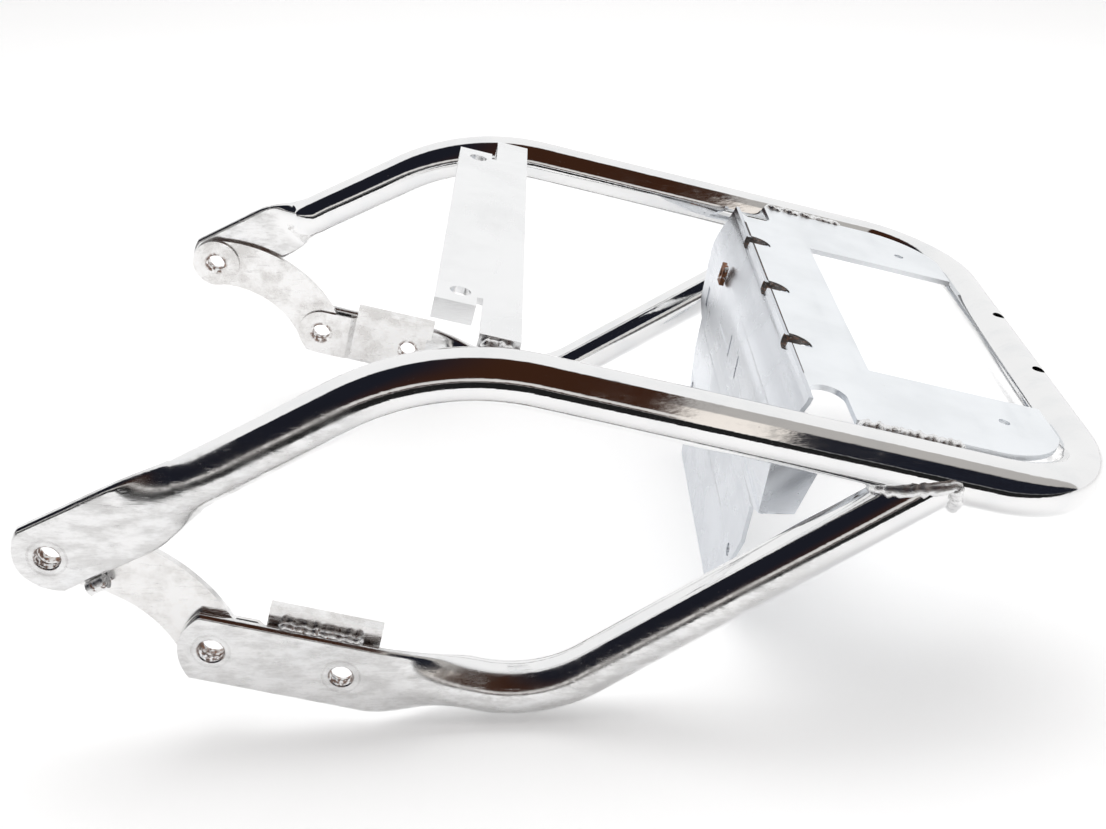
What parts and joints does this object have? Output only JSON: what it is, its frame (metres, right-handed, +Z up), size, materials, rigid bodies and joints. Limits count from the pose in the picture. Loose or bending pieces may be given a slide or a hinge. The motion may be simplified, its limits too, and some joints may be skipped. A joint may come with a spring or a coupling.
{
  "type": "motorcycle luggage rack",
  "caption": "Welded chrome tube luggage rack with flattened bolt-on ends, a cross strap, a sheet deck plate and a plate hanging below it.",
  "frame": {"origin": "centre of the bounding box's base, the height of the floor that the rack rests on", "axes": "+X to the rear of the motorcycle, +Y to its right, +Z up; the rack leans back as it rests on its braces and its hanging plate"},
  "size_m": [0.4452, 0.3288, 0.1672],
  "materials": {
    "chrome": "polished chrome plate, scratched and dulled in places",
    "dull_chrome": "hazy brushed chrome plate with rust at the holes",
    "sheet_steel": "satin plated sheet",
    "bead_steel": "plated weld bead, rough",
    "rusted_bead": "plated weld bead with rust"
  },
  "bodies": {
    "root": {"hoop_tube": "chrome", "brace_left": "chrome", "brace_right": "chrome", "link_plate_left": "dull_chrome", "link_plate_right": "dull_chrome", "upper_pad_left": "dull_chrome", "upper_pad_right": "dull_chrome", "backing_strip_left": "dull_chrome", "backing_strip_right": "dull_chrome", "ledge_left": "dull_chrome", "ledge_right": "dull_chrome", "cross_strap": "sheet_steel", "deck_plate": "sheet_steel", "hanging_plate": "sheet_steel", "plate_clip": "rusted_bead", "link_peg_left": "rusted_bead", "link_peg_right": "rusted_bead", "brace_weld_left": "bead_steel", "brace_weld_right": "bead_steel", "strap_weld_left": "bead_steel", "strap_weld_right": "bead_steel", "deck_weld_left": "bead_steel", "deck_weld_right": "bead_steel", "seam_welds": "rusted_bead", "ledge_weld_left": "rusted_bead", "ledge_weld_right": "rusted_bead"}
  },
  "joints": []
}
